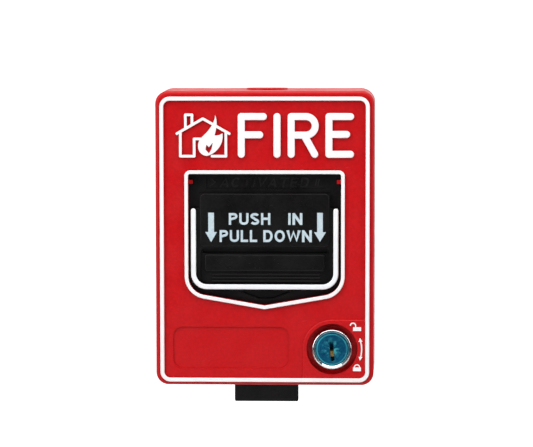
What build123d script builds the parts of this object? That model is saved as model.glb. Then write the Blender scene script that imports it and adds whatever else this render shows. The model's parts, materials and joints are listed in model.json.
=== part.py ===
from build123d import *
from math import asin, atan2, cos, degrees, hypot, radians, sin, tan
import os

# Manual call point: a red wall station whose black handle is pushed in, then pulled down.
# It is drawn operated, with its handle down. The origin is the centre of the wall face,
# +X is right, +Z is up and the front faces -Y. All sizes are millimetres.

# ---- Driving dimensions: shell ----
body_width = 104.8  # at the wall
body_height = 140.8
body_corner = 6.8
draft = 1.5  # degrees on every side wall
box_depth = 26.0
box_wall = 2.6
box_floor = 2.6
seam_gap = 0.2
cover_depth = 10.5  # rim to face
cover_wall = 2.4
cover_front = 2.2
shoulder = 1.4  # rounding round the front face

# ---- Ribs, letters and window of the cover ----
rib_rise = 1.3
soft_edge = 0.3
rib_width = 1.85
rib_inset = 2.09  # from the edge of the face to the border rib
rib_drop = 0.48  # the border rib sits this far below the middle
rib_corner = 4.8
window_half = 36.0
window_top = 30.6
window_side_bottom = -25.3  # where the side would meet the sloping edge
window_tip = -31.55
window_corner = 9.0
window_top_corner = 1.0
frame_width = 1.7
letter_stroke = 3.3
letters_from_top = 31.2  # top edge of the face to the foot of the letters
letter_height = 20.96
picture_stroke = 1.25
picture_rise = 1.0

letter_rise = 1.2
lug_reach = 2.0
lug_size = 1.8
lug_height = 26.8
panel_x = -15.9
panel_from_bottom = 17.8
panel_width = 54.8
panel_height = 19.8
panel_corner = 4.5
panel_sink = 0.6
plateau_radius = 13.9
plateau_rise = 0.8
plateau_edge = 0.55
padlock_reach = 11.8  # from the lock's axis to the padlocks
padlock_rise = 9.6
padlock_drop = 9.5
arrow_radius = 14.0
arrow_stroke = 0.6
arrow_shaft = 7.6
arrow_tip = 5.4  # from the lock's axis, up and down
arrow_head = 0.95
icon_rise = 0.3
padlock_width = 3.8
padlock_height = 1.8
padlock_bar = 0.55
screw_reach = 8.0

# ---- Handle ----
handle_travel = 8.8
push_travel = 2.0
running_gap = 0.3
plate_thickness = 2.5
plate_half = 37.2
plate_top = 36.0
plate_bottom = -37.9
skirt_bottom = -43.0
label_half = 30.9
label_top = 21.26
label_bottom = -3.7
label_rise = 0.5
scoop_half = 30.4
scoop_top = -4.6
scoop_bottom = -21.6
scoop_sink = 1.5
groove_height = 2.4
grip_pad_half = 28.3
grip_pad_top = -7.5
grip_pad_bottom = -15.5
grip_rib_half = 25.5
grip_rib_pitch = 1.6
band_half = 28.0
band_top = 29.2
band_bottom = 23.5
band_sink = 0.5
pocket_points = ((-11.6, -25.2), (12.4, -25.2), (3.9, -28.6), (-3.0, -28.6))
pocket_sink = 1.4
dot_radius = 0.38
dot_pitch = 2.0
pad_rise = 1.7  # pad above the plate, through the window
rim_rise = 1.3
rim_stroke = 2.4
rim_half = 34.77
rim_bottom = -23.98
rim_end = 14.36
rim_corner = 7.6
tab_width = 30.5
tab_reach = 9.4  # below the box
tab_thickness = 3.5
tab_below_seam = 6.0  # rim of the box to the tab's rear face
tab_offset = 0.4
ledge_thickness = 4.0

# ---- Carriage, posts and guide frame ----
carriage_thickness = 3.0
carriage_half = 44.5
carriage_top = 46.0
carriage_bottom = -32.5
opening_half = 34.0
opening_top = 34.0
opening_bottom = -26.0
post_x = 41.7
post_top = 40.0
post_bottom = -27.0
post_radius = 2.3
post_clearance = 0.3
post_pilot = 1.0
push_spring_length = 5.9
frame_thickness = 2.5
frame_top = 47.0
frame_bottom = -32.0
push_spring_outer = 3.5
spring_wire = 0.7

return_spring_x = 30.0
return_spring_radius = 1.9
return_spring_depth = 29.4
return_seat = -9.0  # underside of the handle's lug
arm_pivot_x = 2.0
arm_pivot_z = 39.0
arm_length = 30.0
arm_width = 3.0
arm_thickness = 2.5
ramp_slope = 0.4
ramp_gap = 0.2
pivot_radius = 1.2
small_fit = 0.05

# ---- Hinge ----
hinge_inset = 2.0  # axis inside the outer face at the seam
knuckle_radius = 2.0
channel_radius = 3.0
pin_radius = 0.9
pin_fit = 0.06
pin_seat = 0.01
spine_width = 3.6
spine_height = 6.0
hinge_centres = (-42.0, 42.0)
knuckle_length = 10.0
knuckle_gap = 0.4

# ---- Lock ----
lock_from_side = 19.64
lock_from_bottom = 17.34
well_radius = 12.05
well_floor = 4.1  # below the face
cup_wall = 1.7
cup_floor = 2.2
ring_radius = 9.4
ring_height = 6.4
ring_lip = 1.1  # slope inside the ring's front edge
ring_bore = 7.5
barrel_radius = 8.0
barrel_clearance = 0.1
barrel_length = 14.4
plug_face = 7.42
plug_radius = 5.5
plug_fit = 0.08
key_slot_width = 1.9
key_slot_length = 10.0
key_slot_drop = 0.6
key_slot_tilt = 4.9  # degrees
cam_length = 14.8
cam_width = 8.0
cam_thickness = 2.0
nut_flats = 20.0
nut_thickness = 3.0

# ---- Switch, terminals and small parts ----
lever_pivot_x = 22.0
lever_pivot_z = 7.4
lever_rest_angle = 11.83  # degrees below level
lever_length = 44.0
lever_thickness = 0.5
switch_width = 27.8
switch_height = 15.9
switch_thickness = 10.3
lug_width = 4.0
lug_left = -20.0
lug_gap = 0.15
lever_stand_off = 2.5  # rear of the frame to the lever's front edge
lever_width = 4.0
lever_eye = 1.2
lever_pin = 0.6
switch_left = -4.0
switch_bottom = 8.7
plunger_x = 16.0
plunger_radius = 1.0
tab_pitch = 9.0
tab_plate = 0.8
block_left = -30.0
block_bottom = 34.5
block_height = 12.0
block_thickness = 11.0
pole_pitch = 10.0
poles = 4
lead_radius = 0.8
lead_height = 5.1  # above the terminal block's rear face
conduit_radius = 9.9
plug_flange = 1.1
entry_radius = 11.1
entry_z = -22.0
wall_screw_radius = 2.3
wall_screw_x = 60.0
wall_screw_z = 100.0

# ---- Depths from the wall ----
cover_rim = box_depth + seam_gap
seam = box_depth + seam_gap / 2
face = cover_rim + cover_depth
cover_inside = face - cover_front
plate_front = cover_inside - running_gap
plate_rear = plate_front - plate_thickness
pad_front = plate_front + pad_rise
carriage_front = plate_rear - running_gap
carriage_rear = carriage_front - carriage_thickness
frame_front = carriage_rear - push_spring_length
frame_rear = frame_front - frame_thickness
tab_depth = box_depth - tab_below_seam
lever_front = frame_rear - lever_stand_off
block_rear = frame_rear - block_thickness
lead_depth = block_rear + lead_height


def half_width(depth):
    """Half the width of the drafted body at a depth from the wall."""
    return body_width / 2 - depth * tan(radians(draft))


def half_height(depth):
    """Half the height of the drafted body at a depth from the wall."""
    return body_height / 2 - depth * tan(radians(draft))


def front(depth):
    """The plane at a depth from the wall, drawn with X right and Y up, facing the front."""
    return Plane.XZ.offset(depth)


def level(height):
    """The horizontal plane at a height, drawn in X and Y, facing up."""
    return Plane.XY.offset(height)


hinge_x = -half_width(seam) + hinge_inset
lock_x = half_width(face) - lock_from_side
lock_z = -half_height(face) + lock_from_bottom
panel_z = -half_height(face) + panel_from_bottom
letter_bottom = half_height(face) - letters_from_top
tab_tip = -half_height(tab_depth) - tab_reach
box_inner_half = half_width(box_depth) - box_wall
box_inner_height = half_height(box_depth) - box_wall
cover_inner_half = half_width(face) - cover_wall
cover_inner_height = half_height(face) - cover_wall
inner_corner = body_corner - box_wall
knuckle_pitch = knuckle_length + knuckle_gap
arm_rear = carriage_rear - running_gap - arm_thickness
ramp_z = arm_pivot_z - arm_length
ramp_x = arm_pivot_x + (arm_width / 2 + ramp_gap) * hypot(1, ramp_slope)
lever_reach = lever_pivot_x - lug_left
lever_drop = lever_reach * tan(radians(lever_rest_angle)) + lever_thickness / 2 / cos(radians(lever_rest_angle))
lug_top = lever_pivot_z - lever_drop - lug_gap
plug_seat = half_height(box_depth) - 0.1

window_points = [
    (window_half, window_top),
    (window_half, window_side_bottom),
    (0, window_tip),
    (-window_half, window_side_bottom),
    (-window_half, window_top),
]
window_radii = [window_top_corner, window_corner, window_top_corner, window_corner, window_top_corner]


letter_low = letter_bottom + letter_stroke / 2
letter_high = letter_bottom + letter_height - letter_stroke / 2
letter_r_x = 12.57
bowl_radius = 4.35
bowl_height = letter_high - bowl_radius
fire_strokes = [
    (-10.85, letter_low, -10.85, letter_high),  # F
    (-10.85, letter_high, -0.5, letter_high),
    (-10.85, letter_high - 8.55, -2.2, letter_high - 8.55),
    (5.92, letter_low, 5.92, letter_high),  # I
    (30.25, letter_low, 30.25, letter_high),  # E
    (30.25, letter_high, 40.35, letter_high),
    (30.25, letter_high - 8.35, 38.5, letter_high - 8.35),
    (30.25, letter_low, 40.35, letter_low),
]
letter_r_strokes = [
    (letter_r_x, letter_low, letter_r_x, letter_high),
    (letter_r_x, letter_high, letter_r_x + 6.9, letter_high),
    (letter_r_x, letter_high - 2 * bowl_radius, letter_r_x + 6.9, letter_high - 2 * bowl_radius),
    (18.6, letter_high - 2 * bowl_radius, 23.6, letter_low),
]
house_floor = letter_bottom + 0.76
house_eaves = house_floor + 10.6
house_ridge = house_floor + 17.6
house_strokes = [
    (-41.1, house_eaves, -28.9, house_ridge),  # roof
    (-28.9, house_ridge, -16.5, house_eaves),
    (-39.5, house_floor, -39.5, house_eaves + 0.9),  # walls
    (-18.1, house_floor, -18.1, house_eaves + 0.9),
    (-39.5, house_floor, -33.0, house_floor),
    (-33.0, house_floor, -33.0, house_floor + 8.1),  # doorway
    (-33.0, house_floor + 8.1, -29.5, house_floor + 8.1),
    (-37.1, house_eaves + 2.4, -37.1, house_ridge + 1.8),  # chimney
    (-37.1, house_ridge + 1.8, -34.0, house_ridge + 1.8),
    (-34.0, house_eaves + 4.2, -34.0, house_ridge + 1.8),
    (-24.6, house_floor, -18.1, house_floor),
]


def above_floor(*points):
    """Points of the flame, each with its height counted from the floor line of the house."""
    return [(x, house_floor + z) for x, z in points]


flame_left = above_floor((-23.1, 19.3), (-24.2, 15.4), (-27.3, 11.0), (-30.9, 6.6), (-30.9, 3.0), (-27.0, 0.1))
flame_right = above_floor((-27.0, 0.1), (-23.2, 2.0), (-20.4, 5.6), (-19.7, 10.8))
flame_notch = above_floor((-19.7, 10.8), (-21.9, 9.8), (-23.4, 9.8))
flame_tongue = above_floor((-23.4, 9.8), (-22.7, 12.6), (-22.4, 16.0), (-23.1, 19.3))
flame_heart = above_floor(
    (-24.2, 6.4), (-26.0, 4.2), (-27.2, 5.4), (-27.7, 3.2), (-26.1, 1.3), (-24.9, 3.2)
)


def coil_spring(start, along, across, length, radius, wire):
    """A spring as a thin sleeve with a round ridge for each turn, standing on its start point."""
    turns = round(length / (1.5 * wire))
    pitch = length / turns
    side = Plane(origin=start, x_dir=across, z_dir=Vector(*across).cross(Vector(*along)))
    with BuildSketch(side) as profile:
        with Locations((radius - 0.75 * wire, length / 2)):
            Rectangle(wire / 2, length)
        for turn in range(turns):
            with Locations((radius - wire / 2, (turn + 0.5) * pitch)):
                Circle(wire / 2)
    revolve(profile.sketch, axis=Axis(start, along))


def tops(builder, depth):
    """The flat faces of a builder's part that look to the front at a depth from the wall."""
    flat = builder.faces().filter_by(GeomType.PLANE).filter_by(Axis.Y)
    return flat.filter_by_position(Axis.Y, -depth - 0.01, -depth + 0.01)


def strokes(lines, width):
    """Round-ended strokes in the current sketch, one for each (x1, z1, x2, z2)."""
    for x1, z1, x2, z2 in lines:
        with Locations(((x1 + x2) / 2, (z1 + z2) / 2)):
            SlotCenterToCenter(hypot(x2 - x1, z2 - z1), width, rotation=degrees(atan2(z2 - z1, x2 - x1)))


os.makedirs("parts", exist_ok=True)

# ================= Back box =================
with BuildPart() as back_box:
    with BuildSketch(front(0)):
        RectangleRounded(body_width, body_height, body_corner)
    extrude(amount=box_depth, taper=draft)
    with BuildSketch(front(box_floor)):
        RectangleRounded(2 * box_inner_half, 2 * box_inner_height, inner_corner)
    extrude(amount=box_depth, mode=Mode.SUBTRACT)
    # Hinge spine along the left wall, then the channel that the cover's edge turns in
    spine_outer = -box_inner_half - 1
    spine_inner = hinge_x + spine_width
    with BuildSketch(front(box_depth - spine_height)):
        with Locations(((spine_outer + spine_inner) / 2, 0)):
            Rectangle(spine_inner - spine_outer, 2 * (half_height(seam) - body_corner))
    extrude(amount=spine_height)
    with BuildSketch(level(-body_height / 2)):
        with Locations((hinge_x, -seam)):
            Circle(channel_radius)
    extrude(amount=body_height, mode=Mode.SUBTRACT)
    # Outer knuckles of each hinge, on webs down to the wall
    for centre in hinge_centres:
        for side in (-1, 1):
            with BuildSketch(level(centre + side * knuckle_pitch - knuckle_length / 2)):
                with Locations((hinge_x, -seam)):
                    Circle(knuckle_radius)
                with Locations((hinge_x - knuckle_radius / 2, -seam + (channel_radius + 0.6) / 2)):
                    Rectangle(knuckle_radius, channel_radius + 0.6)
            extrude(amount=knuckle_length)
        with BuildSketch(level(centre - 2 * knuckle_pitch)):
            with Locations((hinge_x, -seam)):
                Circle(pin_radius + pin_seat)
        extrude(amount=4 * knuckle_pitch, mode=Mode.SUBTRACT)
    # Slot for the handle's tab, open at the rim
    slot_floor = tab_depth - push_travel - 1.0
    with BuildSketch(front(slot_floor)):
        with Locations((tab_offset, -half_height(box_depth))):
            Rectangle(tab_width + 2.4, 4 * box_wall)
    extrude(amount=box_depth, mode=Mode.SUBTRACT)
    # Conduit entry through the top wall
    with BuildSketch(level(box_inner_height - 1)):
        with Locations((tab_offset, -box_depth / 2)):
            Circle(conduit_radius - 1.2)
    extrude(amount=box_wall + 4, mode=Mode.SUBTRACT)
    with BuildSketch(level(plug_seat)):
        with Locations((tab_offset, -box_depth / 2)):
            Circle(conduit_radius + 0.15)
    extrude(amount=4, mode=Mode.SUBTRACT)
    # Cable entry and wall screws through the floor
    with BuildSketch(front(0)):
        with Locations((0, entry_z)):
            Circle(entry_radius)
        with GridLocations(wall_screw_x, wall_screw_z, 2, 2):
            Circle(wall_screw_radius)
    extrude(amount=box_floor, mode=Mode.SUBTRACT)
    # Boss for the earth screw
    with BuildSketch(front(box_floor - 0.1)):
        with Locations((-28, -48)):
            Circle(4.0)
    extrude(amount=4.0)
    with BuildSketch(front(box_floor + 0.4)):
        with Locations((-28, -48)):
            Circle(1.6)
    extrude(amount=4.0, mode=Mode.SUBTRACT)
    # Bores for the strike's two screws, in the right wall
    with BuildSketch(Plane.YZ.offset(box_inner_half - 1)):
        for z in (lock_z - 5, lock_z + 5):
            with Locations((-10, z)):
                Circle(1.2)
    extrude(amount=2.6, mode=Mode.SUBTRACT)
back_box.part.label = "back_box"
export_step(back_box.part, "parts/back_box.step")

with BuildPart() as conduit_plug:
    with BuildSketch(level(plug_seat)):
        with Locations((tab_offset, -box_depth / 2)):
            Circle(conduit_radius)
    extrude(amount=plug_flange)
    fillet(conduit_plug.faces().sort_by(Axis.Z)[-1].edges(), 0.4)
    with BuildSketch(level(box_inner_height - 1.5)):
        with Locations((tab_offset, -box_depth / 2)):
            Circle(conduit_radius - 1.25)
            Circle(conduit_radius - 2.6, mode=Mode.SUBTRACT)
    extrude(amount=plug_seat - box_inner_height + 1.5)
conduit_plug.part.label = "conduit_plug"
export_step(conduit_plug.part, "parts/conduit_plug.step")

with BuildPart() as hinge_pins:
    for centre in hinge_centres:
        with BuildSketch(level(centre - 1.5 * knuckle_pitch + knuckle_gap / 2)):
            with Locations((hinge_x, -seam)):
                Circle(pin_radius)
        extrude(amount=3 * knuckle_pitch - knuckle_gap)
hinge_pins.part.label = "hinge_pins"
export_step(hinge_pins.part, "parts/hinge_pins.step")

# ================= Cover =================
with BuildPart() as cover:
    with BuildSketch(front(cover_rim)):
        rim_corner_radius = body_corner - cover_rim * tan(radians(draft))
        RectangleRounded(2 * half_width(cover_rim), 2 * half_height(cover_rim), rim_corner_radius)
    extrude(amount=cover_depth, taper=draft)
    fillet(cover.faces().sort_by(Axis.Y)[0].edges(), shoulder)
    with BuildSketch(front(cover_rim)):
        RectangleRounded(2 * cover_inner_half, 2 * cover_inner_height, inner_corner)
    extrude(amount=cover_inside - cover_rim, mode=Mode.SUBTRACT)
    # Hinge spine, channel and middle knuckles
    spine_outer = -cover_inner_half - 1
    with BuildSketch(front(cover_rim)):
        with Locations(((spine_outer + spine_inner) / 2, 0)):
            Rectangle(spine_inner - spine_outer, 2 * (half_height(seam) - body_corner))
    extrude(amount=spine_height)
    with BuildSketch(level(-body_height / 2)):
        with Locations((hinge_x, -seam)):
            Circle(channel_radius)
    extrude(amount=body_height, mode=Mode.SUBTRACT)
    for centre in hinge_centres:
        with BuildSketch(level(centre - knuckle_length / 2)):
            with Locations((hinge_x, -seam)):
                Circle(knuckle_radius)
            with Locations((hinge_x - knuckle_radius / 2, -seam - (channel_radius + 0.6) / 2)):
                Rectangle(knuckle_radius, channel_radius + 0.6)
        extrude(amount=knuckle_length)
        with BuildSketch(level(centre - knuckle_length)):
            with Locations((hinge_x, -seam)):
                Circle(pin_radius + pin_fit)
        extrude(amount=2 * knuckle_length, mode=Mode.SUBTRACT)
    # Posts that carry the guide frame and guide the carriage
    with BuildSketch(front(frame_front)):
        for z in (post_bottom, post_top):
            for x in (-post_x, post_x):
                with Locations((x, z)):
                    Circle(post_radius)
    extrude(amount=cover_inside - frame_front + 0.1)
    with BuildSketch(front(frame_front)):
        for z in (post_bottom, post_top):
            for x in (-post_x, post_x):
                with Locations((x, z)):
                    Circle(post_pilot)
    extrude(amount=screw_reach, mode=Mode.SUBTRACT)
    # Plateau round the lock, its edge under the border rib at the right and below
    plateau_right = half_width(face) - rib_inset - rib_width / 2
    plateau_bottom = rib_inset + rib_width / 2 - rib_drop - half_height(face)
    with BuildSketch(front(face)):
        with Locations((lock_x, lock_z)):
            Circle(plateau_radius)
        for left, top in ((lock_x, lock_z + plateau_radius), (lock_x - plateau_radius, lock_z)):
            with Locations(((left + plateau_right) / 2, (top + plateau_bottom) / 2)):
                Rectangle(plateau_right - left, top - plateau_bottom)
    extrude(amount=plateau_rise)
    fillet(tops(cover, face + plateau_rise).edges(), plateau_edge)
    # Raised border rib and window frame rib
    with BuildSketch(front(face)):
        rib_half = half_width(face) - rib_inset
        rib_height = half_height(face) - rib_inset
        inner_rib = rib_corner - rib_width
        with Locations((0, -rib_drop)):
            RectangleRounded(2 * rib_half, 2 * rib_height, rib_corner)
            RectangleRounded(
                2 * (rib_half - rib_width), 2 * (rib_height - rib_width), inner_rib, mode=Mode.SUBTRACT
            )
    extrude(amount=rib_rise)
    with BuildSketch(front(face)):
        with BuildLine():
            FilletPolyline(*window_points, radius=window_radii, close=True)
        make_face()
        offset(amount=frame_width)
    extrude(amount=rib_rise)
    # Recess of the blank name panel
    with BuildSketch(front(face)):
        with Locations((panel_x, panel_z)):
            RectangleRounded(panel_width, panel_height, panel_corner)
    extrude(amount=-panel_sink, mode=Mode.SUBTRACT)
    # Lock well: a cup through the face, open for the barrel
    with BuildSketch(front(face - well_floor - cup_floor)):
        with Locations((lock_x, lock_z)):
            Circle(well_radius + cup_wall)
    extrude(amount=well_floor + cup_floor - 0.5)
    with BuildSketch(front(face - well_floor)):
        with Locations((lock_x, lock_z)):
            Circle(well_radius)
    extrude(amount=well_floor + 2, mode=Mode.SUBTRACT)
    with BuildSketch(front(face - well_floor - cup_floor)):
        with Locations((lock_x, lock_z)):
            Circle(barrel_radius + barrel_clearance)
    extrude(amount=cup_floor, mode=Mode.SUBTRACT)
    # Window, and the two small lugs at its sides
    with BuildSketch(front(cover_inside)):
        with BuildLine():
            FilletPolyline(*window_points, radius=window_radii, close=True)
        make_face()
    extrude(amount=cover_front + rib_rise, mode=Mode.SUBTRACT)
    with BuildSketch(front(cover_inside)):
        for side in (-1, 1):
            with Locations((side * (window_half - lug_reach / 2 + 0.4), lug_height)):
                Rectangle(lug_reach + 0.8, lug_size)
    extrude(amount=lug_size * 0.7)
    # Raised letters
    with BuildSketch(front(face)):
        strokes(fire_strokes, letter_stroke)
        with Locations((letter_r_x + 6.9, bowl_height)):
            Circle(bowl_radius + letter_stroke / 2)
            Circle(bowl_radius - letter_stroke / 2, mode=Mode.SUBTRACT)
        with Locations((letter_r_x + 6.9 - bowl_radius, bowl_height)):
            Rectangle(2 * bowl_radius, 2 * bowl_radius - letter_stroke, mode=Mode.SUBTRACT)
        strokes(letter_r_strokes, letter_stroke)
    extrude(amount=letter_rise)
    # Raised house and flame
    with BuildSketch(front(face)):
        strokes(house_strokes, picture_stroke)
        with BuildLine():
            Spline(*flame_left)
            Spline(*flame_right)
            Spline(*flame_notch)
            Spline(*flame_tongue)
        make_face()
        with BuildLine():
            Polyline(*flame_heart, close=True)
        make_face(mode=Mode.SUBTRACT)
    extrude(amount=picture_rise)
    # Raised padlocks and turning arrow beside the lock
    padlock_x = lock_x + padlock_reach
    with BuildSketch(front(face + plateau_rise)):
        for z in (lock_z + padlock_rise, lock_z - padlock_drop):
            with Locations((padlock_x, z)):
                Rectangle(padlock_width, padlock_height)
        shackle_out = padlock_width / 2 - 0.4
        for x, z in (
            (padlock_x, lock_z - padlock_drop + padlock_height / 2),
            (padlock_x - shackle_out - 0.4, lock_z + padlock_rise + padlock_height / 2 + 0.7),
        ):
            with Locations((x, z)):
                Circle(shackle_out)
                Circle(shackle_out - padlock_bar, mode=Mode.SUBTRACT)
            with Locations((x, z - shackle_out / 2)):
                Rectangle(2 * shackle_out + 0.2, shackle_out, mode=Mode.SUBTRACT)
        for x, z in (
            (padlock_x, lock_z - padlock_drop),
            (padlock_x, lock_z + padlock_rise),
        ):
            with Locations((x, z)):
                Rectangle(padlock_width, padlock_height)
        with Locations((padlock_x - 0.4 - padlock_bar / 2, lock_z + padlock_rise + padlock_height / 2 + 0.2)):
            Rectangle(padlock_bar, 1.2)
    extrude(amount=icon_rise)
    with BuildSketch(front(face + plateau_rise)):
        with Locations((lock_x, lock_z)):
            Circle(arrow_radius + arrow_stroke / 2)
            Circle(arrow_radius - arrow_stroke / 2, mode=Mode.SUBTRACT)
        with Locations((lock_x + arrow_radius, lock_z)):
            Rectangle(4, arrow_shaft, mode=Mode.INTERSECT)
        shaft_end = lock_x + arrow_radius * cos(asin(arrow_shaft / 2 / arrow_radius))
        for way in (-1, 1):
            head = [
                (shaft_end - arrow_head, lock_z + way * (arrow_shaft / 2 - 0.2)),
                (shaft_end + arrow_head, lock_z + way * (arrow_shaft / 2 - 0.2)),
                (shaft_end - 0.3, lock_z + way * arrow_tip),
            ]
            with BuildLine():
                Polyline(*head, close=True)
            make_face()
    extrude(amount=icon_rise)
    # Soft edges on the ribs, the window and the letters
    for height in (face + rib_rise, face + letter_rise):
        fillet(tops(cover, height).edges(), soft_edge)
cover.part.label = "cover"
export_step(cover.part, "parts/cover.step")

# ================= Handle =================
tab_x = tab_offset
with BuildPart() as pull_handle:
    # Sliding plate with its skirt, the ledge back under the carriage and the tab
    with BuildSketch(front(plate_rear)):
        with Locations((0, (plate_top + plate_bottom) / 2)):
            Rectangle(2 * plate_half, plate_top - plate_bottom)
        with Locations((tab_x, (skirt_bottom - ledge_thickness) / 2)):
            Rectangle(tab_width, -skirt_bottom + ledge_thickness)
    extrude(amount=plate_thickness)
    with BuildSketch(front(tab_depth)):
        with Locations((tab_x, skirt_bottom - ledge_thickness / 2)):
            Rectangle(tab_width, ledge_thickness)
    extrude(amount=plate_front - tab_depth)
    with BuildSketch(front(tab_depth)):
        with Locations((tab_x, (skirt_bottom + tab_tip) / 2)):
            RectangleRounded(tab_width, skirt_bottom - tab_tip, 0.8)
    extrude(amount=tab_thickness)
    # Pad that fills the window inside the U-shaped rim
    with BuildSketch(front(plate_front)):
        with BuildLine():
            FilletPolyline(
                (-rim_half, rim_end),
                (-label_half, rim_end),
                (-label_half, label_top),
                (label_half, label_top),
                (label_half, rim_end),
                (rim_half, rim_end),
                (rim_half, rim_bottom),
                (-rim_half, rim_bottom),
                radius=[0.9, 0.3, 0.8, 0.8, 0.3, 0.9, rim_corner, rim_corner],
                close=True,
            )
        make_face()
    extrude(amount=pad_rise)
    with BuildSketch(front(pad_front)):
        with BuildLine():
            rim_line = rim_half - rim_stroke / 2
            FilletPolyline(
                (-rim_line, rim_end - rim_stroke / 2),
                (-rim_line, rim_bottom + rim_stroke / 2),
                (rim_line, rim_bottom + rim_stroke / 2),
                (rim_line, rim_end - rim_stroke / 2),
                radius=rim_corner - rim_stroke / 2,
            )
            offset(amount=rim_stroke / 2)
        make_face()
    extrude(amount=rim_rise)
    fillet(tops(pull_handle, pad_front + rim_rise).edges(), 2 * soft_edge)
    # Label panel, finger scoop with its undercut groove, grip pad and grip ribs
    with BuildSketch(front(pad_front)):
        with Locations((0, (label_top + label_bottom) / 2)):
            RectangleRounded(2 * (label_half - 0.5), label_top - label_bottom, 2.0)
    extrude(amount=label_rise)
    fillet(tops(pull_handle, pad_front + label_rise).edges(), 1.4 * soft_edge)
    with BuildSketch(front(pad_front)):
        with Locations((0, (scoop_top + scoop_bottom) / 2)):
            RectangleRounded(2 * scoop_half, scoop_top - scoop_bottom, 2.0)
    extrude(amount=-scoop_sink, mode=Mode.SUBTRACT)
    with BuildSketch(front(pad_front)):
        with Locations((0, scoop_top - groove_height / 2)):
            RectangleRounded(2 * (scoop_half - 0.6), groove_height, 1.0)
    extrude(amount=-2 * scoop_sink, mode=Mode.SUBTRACT)
    with BuildSketch(front(pad_front - scoop_sink)):
        with Locations((0, (grip_pad_top + grip_pad_bottom) / 2)):
            RectangleRounded(2 * grip_pad_half, grip_pad_top - grip_pad_bottom, 1.2)
    extrude(amount=scoop_sink * 0.75)
    fillet(tops(pull_handle, pad_front - scoop_sink * 0.25).edges(), 2 * soft_edge)
    with BuildSketch(front(pad_front - scoop_sink)):
        for rib in range(1, 4):
            with Locations((0.6, grip_pad_bottom - rib * grip_rib_pitch)):
                Rectangle(2 * grip_rib_half, grip_rib_pitch / 2)
    extrude(amount=scoop_sink * 0.5)
    rib_edges = tops(pull_handle, pad_front - scoop_sink * 0.5).edges().filter_by(Axis.X)
    fillet(rib_edges, soft_edge)
    # Sunk band above the label, sunk pocket below the rim
    with BuildSketch(front(plate_front)):
        with Locations((tab_x, (band_top + band_bottom) / 2)):
            Rectangle(2 * band_half, band_top - band_bottom)
    extrude(amount=-band_sink, mode=Mode.SUBTRACT)
    with BuildSketch(front(plate_front)):
        with BuildLine():
            Polyline(*pocket_points, close=True)
        make_face()
    extrude(amount=-pocket_sink, mode=Mode.SUBTRACT)
    # Tactile dots in two rows of cells
    for row_z, plane_depth, cells in ((19.5, pad_front + label_rise, 9), (-10.2, pad_front - 0.4, 11)):
        with BuildSketch(front(plane_depth - 0.1)):
            for cell in range(cells):
                for dot in range(6):
                    if (cell * 7 + dot * dot * 5) % 3 == 0:
                        spread = (cell - (cells - 1) / 2) * 46.0 / (cells - 1)
                        with Locations((spread + dot % 2 * dot_pitch, row_z - dot // 2 * dot_pitch)):
                            Circle(dot_radius)
        extrude(amount=0.35)
    # Rear lugs: switch lug, seats of the return springs, ramp for the latch arm
    with BuildSketch(front(lever_front - lever_width - 1.5)):
        with Locations((lug_left + lug_width / 2, lug_top - 3)):
            Rectangle(lug_width, 6)
    extrude(amount=plate_rear - lever_front + lever_width + 1.6)
    with BuildSketch(front(return_spring_depth - return_spring_radius - 0.4)):
        for side in (-1, 1):
            with Locations((side * return_spring_x, return_seat + 1.5)):
                Rectangle(5, 3)
    extrude(amount=plate_rear - return_spring_depth + return_spring_radius + 0.5)
    with BuildSketch(front(arm_rear)):
        with BuildLine():
            Polyline(
                (ramp_x + 2 * ramp_slope, ramp_z + 2),
                (10, ramp_z + 2),
                (10, ramp_z - handle_travel - 6),
                (ramp_x - (handle_travel + 2) * ramp_slope, ramp_z - handle_travel - 6),
                (ramp_x - (handle_travel + 2) * ramp_slope, ramp_z - handle_travel - 2),
                close=True,
            )
        make_face()
    extrude(amount=plate_rear - arm_rear + 0.1)
pull_handle.part.label = "pull_handle"
export_step(pull_handle.part, "parts/pull_handle.step")

# ================= Carriage and its springs =================
with BuildPart() as handle_carriage:
    with BuildSketch(front(carriage_rear)):
        with Locations((0, (carriage_top + carriage_bottom) / 2)):
            Rectangle(2 * carriage_half, carriage_top - carriage_bottom)
        with Locations((0, (opening_top + opening_bottom) / 2)):
            Rectangle(2 * opening_half, opening_top - opening_bottom, mode=Mode.SUBTRACT)
        for side in (-1, 1):
            for z in (post_bottom, post_top):
                slot_inner = post_x - post_radius - post_clearance
                with Locations((side * (slot_inner + carriage_half + 1) / 2, z)):
                    slot_width = 2 * (post_radius + post_clearance)
                    Rectangle(carriage_half + 1 - slot_inner, slot_width, mode=Mode.SUBTRACT)
    extrude(amount=carriage_thickness)
    # Side rails that keep the handle's plate straight
    with BuildSketch(front(carriage_front)):
        for side in (-1, 1):
            rail_inner = plate_half + running_gap
            with Locations((side * (rail_inner + 0.65), (carriage_top + carriage_bottom) / 2)):
                Rectangle(1.3, carriage_top - carriage_bottom)
    extrude(amount=plate_thickness + running_gap - 0.1)
    # Bore for the latch pivot and the lug behind the latch spring
    with BuildSketch(front(carriage_rear)):
        with Locations((arm_pivot_x, arm_pivot_z)):
            Circle(pivot_radius)
    extrude(amount=carriage_thickness, mode=Mode.SUBTRACT)
    with BuildSketch(front(arm_rear)):
        with Locations((arm_pivot_x + 11.5, arm_pivot_z + 4.5)):
            Rectangle(2, 4)
    extrude(amount=carriage_rear - arm_rear + 0.1)
handle_carriage.part.label = "handle_carriage"
export_step(handle_carriage.part, "parts/handle_carriage.step")

with BuildPart() as push_springs:
    for z in (post_bottom, post_top):
        for x in (-post_x, post_x):
            coil_spring(
                (x, -frame_front, z), (0, -1, 0), (1, 0, 0), push_spring_length, push_spring_outer, spring_wire
            )
push_springs.part.label = "push_springs"
export_step(push_springs.part, "parts/push_springs.step")

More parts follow.
